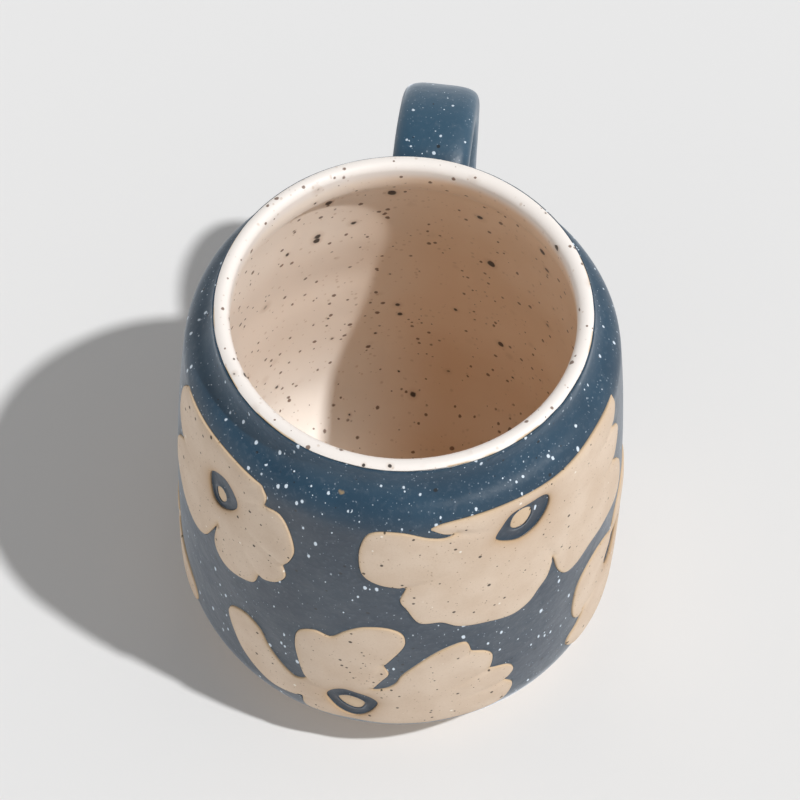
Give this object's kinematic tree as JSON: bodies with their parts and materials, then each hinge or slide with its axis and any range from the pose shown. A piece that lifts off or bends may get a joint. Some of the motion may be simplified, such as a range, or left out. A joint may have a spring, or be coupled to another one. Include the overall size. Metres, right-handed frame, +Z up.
{
  "type": "ceramic mug",
  "caption": "Round-bellied stoneware mug with a narrow collar, a strap handle, speckled blue and cream glazes and raised bare-clay flowers.",
  "frame": {"origin": "on the axis of the round body, in the plane that the foot ring stands on", "axes": "+Z up along the body's axis, out of the mouth; +X from the axis towards the handle; +Y completes a right-handed frame"},
  "size_m": [0.1278, 0.0982, 0.1062],
  "materials": {
    "bare_clay": "unglazed, matt, fine brown specks",
    "slip": "fired slip, hidden under the glaze",
    "cream_glaze": "satin, dark brown specks",
    "blue_glaze": "satin matt, white and black specks"
  },
  "bodies": {
    "root": {"body": "bare_clay", "handle": "bare_clay", "poppy_front_left": "bare_clay", "poppy_front_right": "bare_clay", "poppy_front_low": "bare_clay", "poppy_right_low": "bare_clay", "poppy_left_low": "bare_clay", "poppy_back_left": "bare_clay", "poppy_back_right": "bare_clay", "poppy_dots": "bare_clay", "slip_joint_upper": "slip", "slip_joint_lower": "slip", "liner_glaze": "cream_glaze", "wall_glaze": "blue_glaze", "handle_glaze": "blue_glaze", "poppy_centre_glaze": "blue_glaze"}
  },
  "joints": []
}
